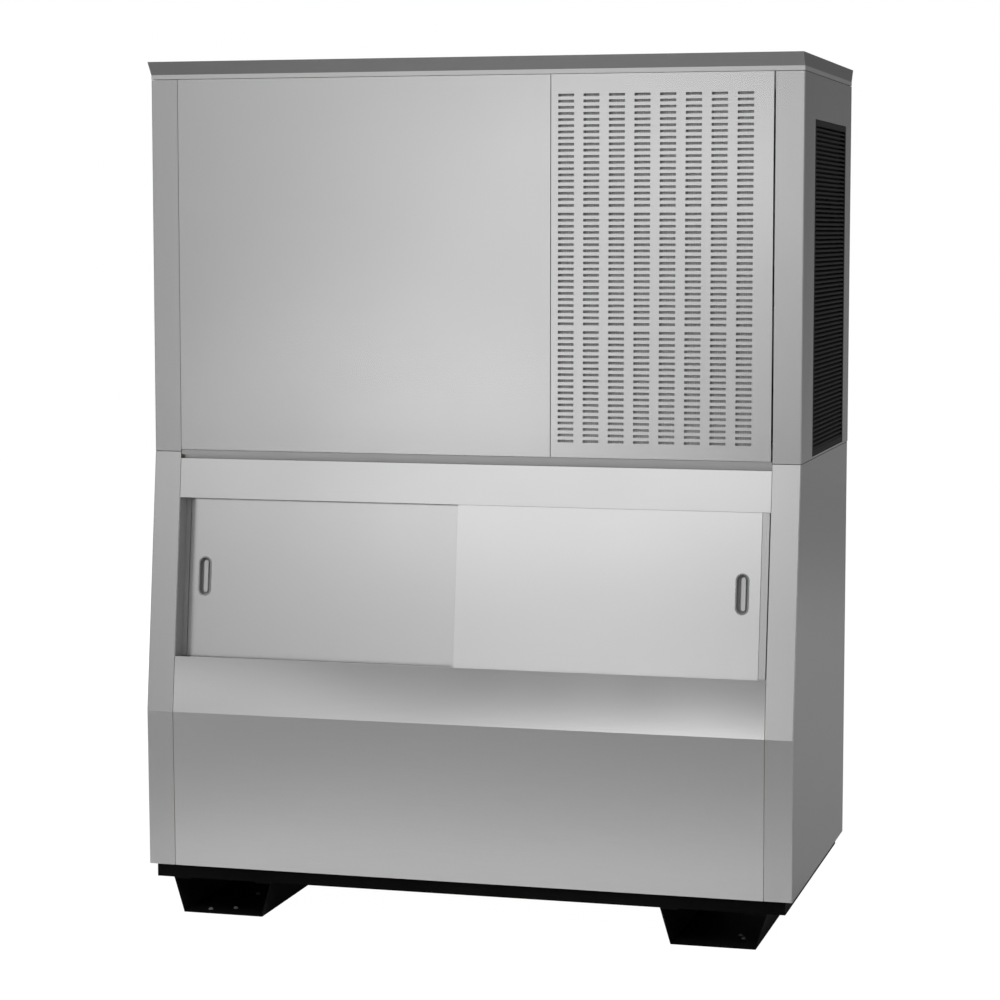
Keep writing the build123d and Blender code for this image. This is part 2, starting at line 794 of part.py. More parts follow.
with BuildPart() as bulkhead:
    sheet_y = (bulkhead_y, bulkhead_y + sheet)
    block((bulkhead_left_x, divider_x), sheet_y, (pan_top_z, head_side_top_z - sheet))
    for hole_x, hole_z, size in (
        (stub_x[0], line_z, passage),
        (stub_x[1], line_z, passage),
        (inlet_x, inlet_z, pipe_passage),
    ):
        block((hole_x - size / 2, hole_x + size / 2), sheet_y,
              (hole_z - size / 2, hole_z + size / 2), mode=Mode.SUBTRACT)
save(bulkhead, "bulkhead")

evaporator_width = 390.0
evaporator_height = 420.0
evaporator_y = (face_y + 262.0, face_y + 300.0)
evaporator_wall = 3.0
rib_thickness = 3.0
rib_count = 9
standoff_width = 20.0
ear_reach = 32.0
ear_height = 26.0
ear_rise = 10.0
curtain_axis_y = face_y + 240.0
curtain_rise = 19.0
curtain_axis_z = evaporator_z + evaporator_height + curtain_rise
pin_radius = 4.0
running_gap = 0.05
curtain_thickness = 3.0
curtain_side_gap = 1.0
curtain_foot = 15.0


def evaporator(left_x, name):
    """Tray of freezing cells open to the front, on two standoffs, with ears for the curtain."""
    span = (left_x, left_x + evaporator_width)
    top = evaporator_z + evaporator_height
    with BuildPart() as plate:
        block(span, evaporator_y, (evaporator_z, top))
        inner = (span[0] + evaporator_wall, span[1] - evaporator_wall)
        room = (evaporator_height - 2 * evaporator_wall - (rib_count - 1) * rib_thickness) / rib_count
        for index in range(rib_count):
            low = evaporator_z + evaporator_wall + index * (room + rib_thickness)
            block(inner, (evaporator_y[0], evaporator_y[1] - evaporator_wall), (low, low + room),
                  mode=Mode.SUBTRACT)
        for bar_x in (span[0] + evaporator_width / 4, span[1] - evaporator_width / 4):
            block((bar_x - standoff_width / 2, bar_x + standoff_width / 2),
                  (evaporator_y[1], bulkhead_y), (evaporator_z, top))
        for side_x in (span[0] - evaporator_wall, span[1]):
            block((side_x, side_x + evaporator_wall),
                  (evaporator_y[0] - ear_reach, evaporator_y[0] + ear_reach / 2),
                  (top - ear_height / 2, curtain_axis_z + ear_rise))
            notch = pin_radius + running_gap
            block((side_x, side_x + evaporator_wall), (curtain_axis_y - notch, curtain_axis_y + notch),
                  (curtain_axis_z - notch, curtain_axis_z + ear_rise), mode=Mode.SUBTRACT)
    save(plate, name)


def curtain(left_x, name):
    """Swinging splash sheet in front of an evaporator, with a pin at each upper corner."""
    span = (left_x + curtain_side_gap, left_x + evaporator_width - curtain_side_gap)
    with BuildPart() as flap:
        block(span, (curtain_axis_y - curtain_thickness / 2, curtain_axis_y + curtain_thickness / 2),
              (evaporator_z - curtain_foot, curtain_axis_z))
        with BuildSketch(across(left_x - 2 * evaporator_wall)):
            with Locations((curtain_axis_y, curtain_axis_z)):
                Circle(pin_radius)
        extrude(amount=evaporator_width + 4 * evaporator_wall)
    save(flap, name)


evaporator_gap = 40.0
left_evaporator_x = 80.0 - half
right_evaporator_x = left_evaporator_x + evaporator_width + evaporator_gap
for side_name, left_x in (("left", left_evaporator_x), ("right", right_evaporator_x)):
    evaporator(left_x, f"{side_name}_evaporator")
    curtain(left_x, f"{side_name}_water_curtain")

trough_end_gap = 3.0
trough_x = (40.0 - half, divider_x - trough_end_gap)
trough_y = (face_y + 236.0, bulkhead_y - seat_gap)
trough_z = (head_bottom_z + 108.0, head_bottom_z + 198.0)
trough_wall = 2.5
with BuildPart() as trough:
    block(trough_x, trough_y, trough_z)
    block((trough_x[0] + trough_wall, trough_x[1] - trough_wall),
          (trough_y[0] + trough_wall, trough_y[1] - trough_wall),
          (trough_z[0] + trough_wall, trough_z[1]), mode=Mode.SUBTRACT)
save(trough, "water_trough")

riser_radius = 6.0
riser_x = divider_x - 14.0
spray_y = face_y + 275.0
spray_z = curtain_axis_z + 24.0
spray_half = 8.0
pump_x = riser_x - 24.0
pump_y = spray_y + 25.0
pump_clearance = 3.0
pump_foot_z = trough_z[0] + trough_wall + pump_clearance
pump_foot_height = 20.0
pump_radius = 18.0
motor_half = 24.0
motor_height = 58.0
motor_rise = 6.0
motor_narrow = 10.0
outlet_wall = 1.0
motor_z = trough_z[1] + motor_rise
neck_half = 7.0
bracket_height = 6.0
with BuildPart() as pump:
    block((pump_x - pump_radius, riser_x + riser_radius + outlet_wall),
          (spray_y - riser_radius - outlet_wall, pump_y + pump_radius),
          (pump_foot_z, pump_foot_z + pump_foot_height))
    block((pump_x - neck_half, pump_x + neck_half), (pump_y - neck_half, pump_y + neck_half),
          (pump_foot_z + pump_foot_height, motor_z))
    block((pump_x - motor_half, pump_x + motor_half - motor_narrow),
          (pump_y - motor_half, pump_y + motor_half), (motor_z, motor_z + motor_height))
    block((pump_x - motor_half / 2, pump_x + motor_half / 2),
          (pump_y, bulkhead_y - seat_gap), (motor_z, motor_z + bracket_height))
save(pump, "water_pump")

with BuildPart() as spray:
    with BuildSketch(Plane.XY.offset(pump_foot_z + pump_foot_height)):
        with Locations((riser_x, spray_y)):
            Circle(riser_radius)
    extrude(amount=spray_z - spray_half - pump_foot_z - pump_foot_height)
    block((left_evaporator_x, riser_x + spray_half), (spray_y - spray_half, spray_y + spray_half),
          (spray_z - spray_half, spray_z + spray_half))
    for bar_x in (left_evaporator_x + evaporator_width / 4, right_evaporator_x + evaporator_width / 2):
        block((bar_x - standoff_width / 2, bar_x + standoff_width / 2),
              (spray_y, bulkhead_y - seat_gap), (spray_z - spray_half / 2, spray_z + spray_half / 2))
save(spray, "water_distributor")

valve_half = 14.0
valve_rise = 15.0
valve_depth = 34.0
valve_x = (inlet_x - valve_half, inlet_x + valve_half)
valve_z = (inlet_z - valve_rise, inlet_z + valve_rise)
valve_y = (bulkhead_y - valve_depth, bulkhead_y - seat_gap)
arm_thickness = 6.0
arm_behind = 5.0
bracket_front = 6.0
bracket_below = 8.0
bracket_above = 4.0
arm_gap = 1.0
arm_height = 8.0
arm_pin_radius = 2.5
arm_y = valve_y[0] - 8.0
arm_z = inlet_z - 6.0
float_drop = 38.0
float_size = (26.0, 34.0, 24.0)
float_y = arm_y - 26.0
with BuildPart() as valve:
    block(valve_x, valve_y, valve_z)
    notch = arm_pin_radius + running_gap
    for low_x, high_x in (
        (valve_x[0], inlet_x - arm_thickness / 2 - arm_gap),
        (inlet_x + arm_thickness / 2 + arm_gap, valve_x[1]),
    ):
        block((low_x, high_x), (arm_y - bracket_front, valve_y[0]),
              (arm_z - bracket_below, arm_z + bracket_above))
        block((low_x, high_x), (arm_y - notch, arm_y + notch), (arm_z - notch, arm_z + bracket_above),
              mode=Mode.SUBTRACT)
save(valve, "float_valve")

with BuildPart() as float_arm:
    block((inlet_x - arm_thickness / 2, inlet_x + arm_thickness / 2),
          (float_y - arm_height / 2, arm_y + arm_behind), (arm_z - arm_height / 2, arm_z + arm_height / 2))
    block((inlet_x - arm_thickness / 2, inlet_x + arm_thickness / 2),
          (float_y - arm_height / 2, float_y + arm_height / 2), (arm_z - float_drop, arm_z))
    block((inlet_x - float_size[0] / 2, inlet_x + float_size[0] / 2),
          (float_y - float_size[1] / 2, float_y + float_size[1] / 2),
          (arm_z - float_drop - float_size[2], arm_z - float_drop))
    with BuildSketch(across(valve_x[0])):
        with Locations((arm_y, arm_z)):
            Circle(arm_pin_radius)
    extrude(amount=valve_x[1] - valve_x[0])
save(float_arm, "float_arm")

with BuildPart() as inlet:
    with BuildSketch(facing(bulkhead_y)):
        with Locations((inlet_x, inlet_z)):
            Circle(inlet_radius)
    extrude(amount=-(back_y - bulkhead_y))
    with BuildSketch(facing(back_y)):
        with Locations((inlet_x, inlet_z)):
            Circle(inlet_end_radius)
    extrude(amount=-(spigot_end_y - back_y))
    with BuildSketch(facing(bulkhead_y)):
        with Locations((inlet_x, inlet_z)):
            Circle(inlet_bore)
    extrude(amount=-(spigot_end_y - bulkhead_y), mode=Mode.SUBTRACT)
save(inlet, "water_inlet")

with BuildPart() as power_inlet:
    reach = (socket_x - socket_width / 2, socket_x + socket_width / 2)
    rise = (socket_z - socket_height / 2, socket_z + socket_height / 2)
    block(reach, (back_sheet_y[0] - socket_depth, back_sheet_y[1]), rise)
    block((reach[0] - socket_flange, reach[1] + socket_flange),
          (back_sheet_y[1], back_sheet_y[1] + socket_lip),
          (rise[0] - socket_flange, rise[1] + socket_flange))
    block((reach[0] + socket_wall, reach[1] - socket_wall),
          (back_sheet_y[0] - socket_depth + socket_wall, back_sheet_y[1] + socket_lip),
          (rise[0] + socket_wall, rise[1] - socket_wall), mode=Mode.SUBTRACT)
    for offset_x, offset_z in (
        (-blade_spread, -blade_drop),
        (blade_spread, -blade_drop),
        (0.0, blade_lift),
    ):
        block((socket_x + offset_x - blade_half[0], socket_x + offset_x + blade_half[0]),
              (back_sheet_y[0] - socket_depth, back_sheet_y[1]),
              (socket_z + offset_z - blade_half[1], socket_z + offset_z + blade_half[1]))
save(power_inlet, "power_inlet")


# Machine compartment, right of the divider: condenser, fan, compressor, receiver and control box

coil_x = (joint_x + 24.0, half - 90.0)
coil_y = (face_y + 45.0, face_y + 105.0)
coil_height = 540.0
coil_fins = 14
coil_fin_gap = 6.0
coil_groove = 20.0
with BuildPart() as coil:
    block(coil_x, coil_y, (pan_top_z, pan_top_z + coil_height))
    fin_pitch = (coil_x[1] - coil_x[0] - coil_fin_gap) / coil_fins
    for index in range(coil_fins):
        fin_x = coil_x[0] + coil_fin_gap + index * fin_pitch
        block((fin_x, fin_x + fin_pitch - coil_fin_gap), (coil_y[0], coil_y[0] + coil_groove),
              (pan_top_z + coil_fin_gap, pan_top_z + coil_height - coil_fin_gap), mode=Mode.SUBTRACT)
save(coil, "condenser")

box_x = (divider_x + sheet, divider_x + 370.0)
box_y = (face_y + 50.0, face_y + 160.0)
box_z = (pan_top_z + coil_height + 25.0, header_z[0] - 12.0)
with BuildPart() as control_box:
    block(box_x, box_y, box_z)
save(control_box, "control_box")

switch_x = box_x[0] + 60.0
switch_z = box_z[1] - 50.0
switch_width = 16.0
switch_height = 28.0
switch_depth = 6.0
switch_proud = 4.0
switch_chamfer = 2.0
switch_play = 1.0
switch_pin = 1.5
switch_pin_depth = 4.5
housing_wall = 3.0
housing_depth = 13.0
housing_y = box_y[0] - housing_depth
pin_end_gap = 0.5
with BuildPart() as housing:
    pocket_half = switch_width / 2 + switch_play
    pocket_rise = switch_height / 2 + switch_play
    outer_half = pocket_half + housing_wall
    block((switch_x - outer_half, switch_x + outer_half), (housing_y, box_y[0]),
          (switch_z - pocket_rise - housing_wall, switch_z + pocket_rise + housing_wall))
    block((switch_x - pocket_half, switch_x + pocket_half), (housing_y, box_y[0] - housing_wall),
          (switch_z - pocket_rise, switch_z + pocket_rise), mode=Mode.SUBTRACT)
    notch = switch_pin + running_gap
    block((switch_x - outer_half, switch_x + outer_half), (housing_y, housing_y + switch_pin_depth + notch),
          (switch_z - notch, switch_z + notch), mode=Mode.SUBTRACT)
save(housing, "switch_housing")

with BuildPart() as rocker:
    low_z = switch_z - switch_height / 2
    high_z = switch_z + switch_height / 2
    with BuildSketch(across(switch_x - switch_width / 2)):
        outline([
            (housing_y + switch_depth, low_z + switch_chamfer),
            (housing_y - switch_proud, low_z + switch_chamfer / 2),
            (housing_y - switch_proud / 2, switch_z),
            (housing_y - switch_proud, high_z - switch_chamfer / 2),
            (housing_y + switch_depth, high_z - switch_chamfer),
        ])
    extrude(amount=switch_width)
    with BuildSketch(across(switch_x - outer_half + pin_end_gap)):
        with Locations((housing_y + switch_pin_depth, switch_z)):
            Circle(switch_pin)
    extrude(amount=2 * (outer_half - pin_end_gap))
save(rocker, "mode_switch")

fan_y = (grille_y[0] + grille_y[1]) / 2
fan_z = (grille_z[0] + grille_z[1]) / 2
fan_radius = 196.0
fan_tip_gap = 5.0
fan_x = half - 40.0
plate_thickness = 1.5
plate_margin = 1.0
shaft_radius = 6.0
hub_radius = 32.0
hub_length = 26.0
blade_count = 5
blade_thickness = 2.0
blade_width = 86.0
blade_pitch = 24.0
blade_root = 2.0
fan_motor_radius = 48.0
fan_motor_length = 86.0
fan_motor_gap = 8.0
bracket_width = 22.0
bracket_thickness = 4.0
bracket_overlap = 14.0
shaft_stub = 2.0
plate_x = (half - grille_depth - seat_gap - plate_thickness, half - grille_depth - seat_gap)
with BuildPart() as shroud:
    block(plate_x, (grille_y[0] + plate_margin, grille_y[1] - plate_margin),
          (grille_z[0] + plate_margin, grille_z[1] - plate_margin))
    with BuildSketch(across(plate_x[0])):
        with Locations((fan_y, fan_z)):
            Circle(fan_radius + fan_tip_gap)
    extrude(amount=plate_thickness, mode=Mode.SUBTRACT)
save(shroud, "fan_shroud")

hub_x = (fan_x - hub_length / 2, fan_x + hub_length / 2)
motor_x = (hub_x[0] - fan_motor_gap - fan_motor_length, hub_x[0] - fan_motor_gap)
with BuildPart() as fan_motor:
    with BuildSketch(across(motor_x[0])):
        with Locations((fan_y, fan_z)):
            Circle(fan_motor_radius)
    extrude(amount=fan_motor_length - bracket_thickness)
    with BuildSketch(across(motor_x[1])):
        with Locations((fan_y, fan_z)):
            Circle(shaft_radius)
    extrude(amount=hub_x[1] - motor_x[1] + shaft_stub)
    arm_reach = fan_radius + fan_tip_gap + bracket_overlap
    block((motor_x[1] - bracket_thickness, motor_x[1]), (fan_y - arm_reach, fan_y + arm_reach),
          (fan_z - bracket_width / 2, fan_z + bracket_width / 2))
    for foot_y in (fan_y - arm_reach, fan_y + arm_reach - bracket_thickness):
        block((motor_x[1] - bracket_thickness, plate_x[0]), (foot_y, foot_y + bracket_thickness),
              (fan_z - bracket_width / 2, fan_z + bracket_width / 2))
save(fan_motor, "fan_motor")

with BuildPart() as fan:
    with BuildSketch(across(hub_x[0])):
        with Locations((fan_y, fan_z)):
            Circle(hub_radius)
    extrude(amount=hub_length)
    for index in range(blade_count):
        turn = Rotation(360 * index / blade_count, 0, 0)
        with Locations(Location((fan_x, fan_y, fan_z)) * turn):
            middle = (hub_radius + fan_radius - blade_root) / 2
            with Locations(Location((0, 0, middle), (0, 0, blade_pitch))):
                Box(blade_thickness, blade_width, fan_radius - hub_radius + blade_root)
    with BuildSketch(across(hub_x[0])):
        with Locations((fan_y, fan_z)):
            Circle(shaft_radius + running_gap)
    extrude(amount=hub_length, mode=Mode.SUBTRACT)
save(fan, "fan")

compressor_x = joint_x + 164.0
compressor_y = back_y - 170.0
compressor_radius = 92.0
compressor_height = 350.0
foot_plate = 230.0
foot_thickness = 6.0
with BuildPart() as compressor:
    block((compressor_x - foot_plate / 2, compressor_x + foot_plate / 2),
          (compressor_y - foot_plate / 2, compressor_y + foot_plate / 2),
          (pan_top_z, pan_top_z + foot_thickness))
    with BuildSketch(Plane.XY.offset(pan_top_z + foot_thickness)):
        with Locations((compressor_x, compressor_y)):
            Circle(compressor_radius)
    extrude(amount=compressor_height)
save(compressor, "compressor")

line_radius = 7.0
line_bend = 30.0
shell_y = compressor_y - compressor_radius - seat_gap
with BuildPart() as suction_line:
    with BuildLine() as run:
        Polyline(
            (stub_x[0], evaporator_y[1] + seat_gap, line_z),
            (stub_x[0], line_y - line_bend, line_z),
            (stub_x[0] + line_bend, line_y, line_z),
            (compressor_x - line_bend, line_y, line_z),
            (compressor_x, line_y + line_bend, line_z),
            (compressor_x, shell_y, line_z),
        )
    with BuildSketch(facing(evaporator_y[1] + seat_gap)):
        with Locations((stub_x[0], line_z)):
            Circle(line_radius)
    sweep(path=run.line, transition=Transition.RIGHT)
    block((stub_x[1] - line_radius / 2, stub_x[1] + line_radius / 2),
          (evaporator_y[1] + seat_gap, line_y),
          (line_z - line_radius / 2, line_z + line_radius / 2))
save(suction_line, "suction_line")

receiver_x = half - 180.0
receiver_y = back_y - 90.0
receiver_radius = 46.0
receiver_height = 260.0
with BuildPart() as receiver:
    with BuildSketch(Plane.XY.offset(pan_top_z)):
        with Locations((receiver_x, receiver_y)):
            Circle(receiver_radius)
    extrude(amount=receiver_height)
save(receiver, "liquid_receiver")
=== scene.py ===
import bmesh
import bpy
from math import atan2, cos, radians, sin
from mathutils import Matrix, Vector


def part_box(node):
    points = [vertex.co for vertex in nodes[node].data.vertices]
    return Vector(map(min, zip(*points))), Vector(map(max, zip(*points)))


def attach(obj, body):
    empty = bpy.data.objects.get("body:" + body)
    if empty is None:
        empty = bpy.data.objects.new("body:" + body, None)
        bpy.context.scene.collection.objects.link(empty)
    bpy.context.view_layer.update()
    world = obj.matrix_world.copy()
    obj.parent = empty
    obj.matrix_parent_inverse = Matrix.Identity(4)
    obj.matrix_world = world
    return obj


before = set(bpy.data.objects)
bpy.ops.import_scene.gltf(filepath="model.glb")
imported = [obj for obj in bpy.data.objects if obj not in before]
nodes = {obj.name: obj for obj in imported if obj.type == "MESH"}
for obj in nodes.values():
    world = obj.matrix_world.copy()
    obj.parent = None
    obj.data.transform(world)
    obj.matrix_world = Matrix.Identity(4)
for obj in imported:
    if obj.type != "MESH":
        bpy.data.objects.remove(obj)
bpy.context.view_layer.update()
print("stage: frame loaded,", len(nodes), "nodes")


# Camera, at the height and turn of the photograph

viewpoint = {
    "place": (1.6764, -6.2787, 1.5511),
    "turn": 15.084,
    "fall": 5.489,
    "lens": 101.1,
    "sensor": 36.0,
}


def placeCamera(v):
    data = bpy.data.cameras.new("photoCamera")
    data.lens = v["lens"]
    data.sensor_width = v["sensor"]
    camera = bpy.data.objects.new("photoCamera", data)
    camera.location = v["place"]
    camera.rotation_euler = (radians(90 - v["fall"]), 0, radians(v["turn"]))
    bpy.context.scene.collection.objects.link(camera)
    bpy.context.scene.camera = camera


placeCamera(viewpoint)
bpy.context.scene.view_settings.view_transform = "Standard"
print("stage: camera")


# Studio: a grey room with bright and dark cards that the steel mirrors, soft lamps and a pale floor

studio = {
    "level": 0.38,
    "darkest": 0.03,
    "whiteInMetal": 0.05,  # share of the white backdrop that metal picks up
    "poolHeight": 3.0,
    "poolSpread": 60,  # degrees
    "floorTone": 0.40,
    "floorWhite": 0.88,
    "floorGlow": 1.13,
    "floorSize": 22.0,
}

# Soft-edged bright and dark cards round the room, in degrees. Those ahead turn from straight in
# front of the machine to its left, the one behind turns from straight behind it to its right

cards = {
    "darkSurround": {"side": "ahead", "turn": 17, "rise": 5, "wide": 26, "high": 16, "amount": -0.15},
    "lowWindow": {"side": "ahead", "turn": 16, "rise": -5, "wide": 7, "high": 4, "amount": 2.6},
    "rightWindow": {"side": "ahead", "turn": 10, "rise": 1.5, "wide": 7, "high": 2.2, "amount": 2.7},
    "midWindow": {"side": "ahead", "turn": 16, "rise": 1.5, "wide": 7, "high": 2.4, "amount": 1.3},
    "leftWindow": {"side": "ahead", "turn": 22, "rise": 3.4, "wide": 7, "high": 1.2, "amount": 0.7},
    "highRight": {"side": "ahead", "turn": 10, "rise": 9.5, "wide": 7, "high": 3, "amount": 2.6},
    "highMiddle": {"side": "ahead", "turn": 16, "rise": 8.5, "wide": 7, "high": 3, "amount": 2.2},
    "highLeft": {"side": "ahead", "turn": 22, "rise": 9.5, "wide": 7, "high": 3, "amount": 1.2},
    "darkRight": {"side": "ahead", "turn": 4, "rise": 4, "wide": 6, "high": 4.5, "amount": -0.4},
    "darkBehind": {"side": "behind", "turn": 12, "rise": 5, "wide": 30, "high": 26, "amount": -0.30},
    "ceiling": {"side": "ahead", "turn": 0, "rise": 90, "wide": 400, "high": 60, "amount": 0.12},
}

# Lamps near the machine, aimed at a point

lamps = {
    "frontLamp": {"place": (-2.6, -5.5, 3.4), "aim": (0, 0, 0.9), "size": (3.0, 3.0), "power": 110},
    "topLamp": {"place": (0.6, -0.6, 4.6), "aim": (0, 0, 0.9), "size": (3.4, 3.4), "power": 30},
    "backLamp": {"place": (-2.4, 5.2, 3.2), "aim": (0, 0, 0.9), "size": (3.0, 3.0), "power": 70},
    "poolLamp": {"place": (-0.1, -1.3, 1.2), "aim": (-0.1, -1.3, 0), "size": (2.6, 0.6), "power": 10},
    "toeLamp": {"place": (-0.1, -0.75, 0.7), "aim": (-0.1, -0.75, 0), "size": (2.2, 0.3), "power": 8},
}

# Light on the floor further out, which the steel mirrors when it is seen from above

pools = {
    "frontPool": {"x": 0, "y": -8.2, "size": (12.0, 5.0), "power": 110},
    "leftFrontPool": {"x": -4.6, "y": -2.4, "size": (4.0, 4.0), "power": 90},
    "rightFrontPool": {"x": 4.6, "y": -2.4, "size": (4.0, 4.0), "power": 90},
    "leftBackPool": {"x": -3.4, "y": 3.2, "size": (5.0, 4.0), "power": 110},
    "rightBackPool": {"x": 4.9, "y": 3.2, "size": (4.0, 4.0), "power": 90},
}


def mathNode(tree, operation, first, second=None):
    node = tree.nodes.new("ShaderNodeMath")
    node.operation = operation
    for socket, value in zip(node.inputs, (first, second)):
        if hasattr(value, "links"):
            tree.links.new(value, socket)
        elif value is not None:
            socket.default_value = value
    return node.outputs["Value"]


def cardFade(tree, angle, middle, reach):
    # One at the card's middle, falling softly to nothing at its edge
    away = mathNode(tree, "ABSOLUTE", mathNode(tree, "SUBTRACT", angle, radians(middle)))
    fade = tree.nodes.new("ShaderNodeMapRange")
    fade.interpolation_type = "SMOOTHSTEP"
    fade.inputs["From Min"].default_value = radians(reach)
    fade.inputs["From Max"].default_value = 0
    tree.links.new(away, fade.inputs["Value"])
    return fade.outputs["Result"]


def hangCards(tree, s):
    where = tree.nodes.new("ShaderNodeTexCoord")
    split = tree.nodes.new("ShaderNodeSeparateXYZ")
    tree.links.new(where.outputs["Generated"], split.inputs["Vector"])
    x, y, z = (split.outputs[axis] for axis in "XYZ")
    rise = mathNode(tree, "ARCSINE", z)
    left, forward = (mathNode(tree, "MULTIPLY", axis, -1) for axis in (x, y))
    turns = {
        "ahead": mathNode(tree, "ARCTAN2", left, forward),
        "behind": mathNode(tree, "ARCTAN2", x, y),
    }
    total = s["level"]
    for card in cards.values():
        across = cardFade(tree, turns[card["side"]], card["turn"], card["wide"])
        upward = cardFade(tree, rise, card["rise"], card["high"])
        light = mathNode(tree, "MULTIPLY", mathNode(tree, "MULTIPLY", across, upward), card["amount"])
        total = mathNode(tree, "ADD", light, total)
    return mathNode(tree, "MAXIMUM", total, s["darkest"])


def whiteRays(tree, share):
    # The camera and glass see the white backdrop whole, metal a share of it
    ray = tree.nodes.new("ShaderNodeLightPath")
    clear = mathNode(tree, "MAXIMUM", ray.outputs["Is Camera Ray"], ray.outputs["Is Transmission Ray"])
    metal = mathNode(tree, "MULTIPLY", ray.outputs["Is Glossy Ray"], share)
    return mathNode(tree, "MAXIMUM", clear, metal)


def hangLamp(name, place, aim, size, power):
    data = bpy.data.lights.new(name, "AREA")
    data.shape = "RECTANGLE"
    data.size, data.size_y = size
    data.energy = power
    light = bpy.data.objects.new(name, data)
    light.location = place
    light.rotation_euler = (aim - place).to_track_quat("-Z", "Y").to_euler()
    light.visible_glossy = False  # the steel mirrors the room, not the lamps
    light.visible_camera = False
    bpy.context.scene.collection.objects.link(light)
    return light


def lightRoom(s):
    world = bpy.data.worlds.new("studio")
    bpy.context.scene.world = world
    world.use_nodes = True
    tree = world.node_tree
    tree.nodes.clear()
    room = tree.nodes.new("ShaderNodeBackground")
    tree.links.new(hangCards(tree, s), room.inputs["Color"])
    white = tree.nodes.new("ShaderNodeBackground")
    white.inputs["Color"].default_value = (1, 1, 1, 1)
    mix = tree.nodes.new("ShaderNodeMixShader")
    tree.links.new(whiteRays(tree, s["whiteInMetal"]), mix.inputs["Fac"])
    tree.links.new(room.outputs["Background"], mix.inputs[1])
    tree.links.new(white.outputs["Background"], mix.inputs[2])
    out = tree.nodes.new("ShaderNodeOutputWorld")
    tree.links.new(mix.outputs["Shader"], out.inputs["Surface"])
    for name, lamp in lamps.items():
        hangLamp(name, Vector(lamp["place"]), Vector(lamp["aim"]), lamp["size"], lamp["power"])
    for name, pool in pools.items():
        place = Vector((pool["x"], pool["y"], s["poolHeight"]))
        light = hangLamp(name, place, place - Vector((0, 0, 1)), pool["size"], pool["power"])
        light.data.spread = radians(s["poolSpread"])


def layFloor(s):
    bm = bmesh.new()
    bmesh.ops.create_grid(bm, x_segments=1, y_segments=1, size=s["floorSize"] / 2)
    mesh = bpy.data.meshes.new("floor")
    bm.to_mesh(mesh)
    bm.free()
    floor = bpy.data.objects.new("floor", mesh)
    bpy.context.scene.collection.objects.link(floor)
    material = bpy.data.materials.new("paleFloor")
    material.use_nodes = True
    tree = material.node_tree
    tree.nodes.clear()
    matt = tree.nodes.new("ShaderNodeBsdfDiffuse")
    matt.inputs["Color"].default_value = (s["floorTone"], s["floorTone"], s["floorTone"], 1)
    glow = tree.nodes.new("ShaderNodeEmission")
    glow.inputs["Strength"].default_value = s["floorGlow"]
    share = mathNode(tree, "MULTIPLY", whiteRays(tree, s["whiteInMetal"]), s["floorWhite"])
    mix = tree.nodes.new("ShaderNodeMixShader")
    tree.links.new(share, mix.inputs["Fac"])
    tree.links.new(matt.outputs["BSDF"], mix.inputs[1])
    tree.links.new(glow.outputs["Emission"], mix.inputs[2])
    out = tree.nodes.new("ShaderNodeOutputMaterial")
    tree.links.new(mix.outputs["Shader"], out.inputs["Surface"])
    mesh.materials.append(material)


lightRoom(studio)
layFloor(studio)
print("stage: studio")


# Shared surface effects

def startGroup(name, inputs, outputs):
    group = bpy.data.node_groups.new(name, "ShaderNodeTree")
    for label, kind, value in inputs:
        socket = group.interface.new_socket(name=label, in_out="INPUT", socket_type=kind)
        if value is not None:
            socket.default_value = value
    for label, kind in outputs:
        group.interface.new_socket(name=label, in_out="OUTPUT", socket_type=kind)
    return group, group.nodes.new("NodeGroupInput"), group.nodes.new("NodeGroupOutput")


def addNoise(group, detail):
    noise = group.nodes.new("ShaderNodeTexNoise")
    noise.inputs["Detail"].default_value = detail
    return noise


brushed = {"lineScale": 900, "lineDetail": 3, "lineRoughness": 0.6, "cloudScale": 1.7, "cloudDetail": 2}


def buildBrushing(b):
    # Fine lines along one axis over slow cloudy patches; Stretch squeezes the pattern across the lines
    group, given, result = startGroup(
        "brushing",
        [("Vector", "NodeSocketVector", None), ("Stretch", "NodeSocketVector", (1, 1, 1)),
         ("Line Scale", "NodeSocketFloat", b["lineScale"]),
         ("Cloud Scale", "NodeSocketFloat", b["cloudScale"])],
        [("Lines", "NodeSocketFloat"), ("Clouds", "NodeSocketFloat")],
    )
    stretch = group.nodes.new("ShaderNodeVectorMath")
    stretch.operation = "MULTIPLY"
    lines = addNoise(group, b["lineDetail"])
    lines.inputs["Roughness"].default_value = b["lineRoughness"]
    clouds = addNoise(group, b["cloudDetail"])
    group.links.new(given.outputs["Vector"], stretch.inputs[0])
    group.links.new(given.outputs["Stretch"], stretch.inputs[1])
    group.links.new(stretch.outputs["Vector"], lines.inputs["Vector"])
    group.links.new(given.outputs["Line Scale"], lines.inputs["Scale"])
    group.links.new(given.outputs["Vector"], clouds.inputs["Vector"])
    group.links.new(given.outputs["Cloud Scale"], clouds.inputs["Scale"])
    group.links.new(lines.outputs["Fac"], result.inputs["Lines"])
    group.links.new(clouds.outputs["Fac"], result.inputs["Clouds"])
    return group


stippled = {"pitScale": 700, "pitDetail": 2, "driftScale": 6, "driftDetail": 3}


